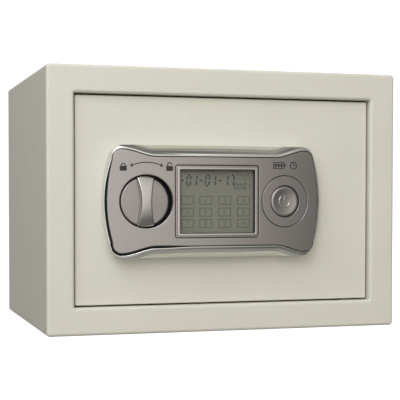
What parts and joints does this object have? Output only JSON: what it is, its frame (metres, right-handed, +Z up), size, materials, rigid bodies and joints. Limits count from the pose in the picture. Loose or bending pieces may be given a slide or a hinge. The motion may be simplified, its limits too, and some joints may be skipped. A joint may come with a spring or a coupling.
{
  "type": "in-room safe",
  "caption": "Small steel safe with a recessed swing door, bowed electronic lock panel with turn knob, touch display and wake button, and knob-driven locking bolts.",
  "frame": {"origin": "centre of the cabinet's underside", "axes": "+X to the viewer's right as the door is faced, +Y from the door towards the back, +Z up"},
  "size_m": [0.35, 0.2668, 0.25],
  "materials": {
    "cream_paint": "fine orange-peel powder coat",
    "carpet": "needle-punched felt",
    "bronze": "machined",
    "steel": "zinc plated",
    "chromed_plastic": "bright plated",
    "pewter_plastic": "satin metallic lacquer",
    "black_plastic": "fine texture",
    "clear_glass": "polished",
    "lcd": "grey-green display cell",
    "white_plastic": "smooth",
    "board": "solder mask",
    "winding": "enamelled wire and tape",
    "cell_jacket": "printed jacket, plain",
    "red_lead": "flexible insulation",
    "grey_lead": "flexible insulation"
  },
  "bodies": {
    "cabinet": {"cabinet_shell": "cream_paint", "back_panel": "cream_paint", "floor_mat": "carpet", "upper_hinge_bush": "bronze", "lower_hinge_bush": "bronze", "hinge_washer": "steel"},
    "knob": {"knob": "pewter_plastic", "knob_spindle": "steel", "spindle_clip": "steel", "drive_cam": "steel"},
    "bolts": {"bolt_carrier": "steel", "lower_bolt": "steel", "upper_bolt": "steel"},
    "plunger": {"solenoid_plunger": "steel"},
    "wake_button": {"wake_button": "pewter_plastic"},
    "battery_cover": {"battery_cover": "black_plastic"},
    "door": {"door_panel": "cream_paint", "upper_hinge_block": "cream_paint", "lower_hinge_block": "cream_paint", "inner_cover": "cream_paint", "upper_hinge_pin": "steel", "lower_hinge_pin": "steel", "lock_chassis": "steel", "lower_guide_pin": "steel", "upper_guide_pin": "steel", "solenoid_frame": "steel", "upper_contact_strip": "steel", "lower_contact_strip": "steel", "panel_screw_1": "steel", "panel_screw_2": "steel", "panel_screw_3": "steel", "panel_screw_4": "steel", "cover_post_1": "steel", "cover_post_2": "steel", "cover_post_3": "steel", "cover_post_4": "steel", "cover_screw_1": "steel", "cover_screw_2": "steel", "cover_screw_3": "steel", "cover_screw_4": "steel", "panel_base": "chromed_plastic", "face_plate": "pewter_plastic", "display_bezel": "pewter_plastic", "button_ring": "pewter_plastic", "touch_glass": "clear_glass", "lcd_panel": "lcd", "backlight_unit": "white_plastic", "lower_bolt_guide": "white_plastic", "upper_bolt_guide": "white_plastic", "main_board": "board", "knob_well": "black_plastic", "wake_switch": "black_plastic", "battery_tray": "black_plastic", "solenoid_coil": "winding", "battery_cell_1": "cell_jacket", "battery_cell_2": "cell_jacket", "battery_cell_3": "cell_jacket", "battery_cell_4": "cell_jacket", "battery_lead": "red_lead", "solenoid_lead": "grey_lead"}
  },
  "joints": [
    {"name": "door_hinge", "type": "hinge", "parent": "cabinet", "child": "door", "pos_m": [0.1185, -0.1105, 0], "axis": [0, 0, 1], "range_deg": [0, 105]},
    {"name": "knob_turn", "type": "hinge", "parent": "door", "child": "knob", "pos_m": [-0.0838, 0, 0.124], "axis": [0, 1, 0], "range_deg": [-90, 0]},
    {"name": "bolt_slide", "type": "slide", "parent": "door", "child": "bolts", "axis": [1, 0, 0], "range_m": [-0.015, 0]},
    {"name": "plunger_slide", "type": "slide", "parent": "door", "child": "plunger", "axis": [0, 0, 1], "range_m": [0, 0.006]},
    {"name": "wake_press", "type": "slide", "parent": "door", "child": "wake_button", "axis": [0, 1, 0], "range_m": [0, 0.0012], "stiffness_N_per_m": 600, "springref_m": -0.0008},
    {"name": "battery_cover_lift", "type": "slide", "parent": "door", "child": "battery_cover", "axis": [0, 1, 0], "range_m": [0, 0.02]}
  ],
  "couplings": [
    {"joint": "knob_turn", "follows": "bolt_slide", "rad_per_m": 104.71}
  ]
}
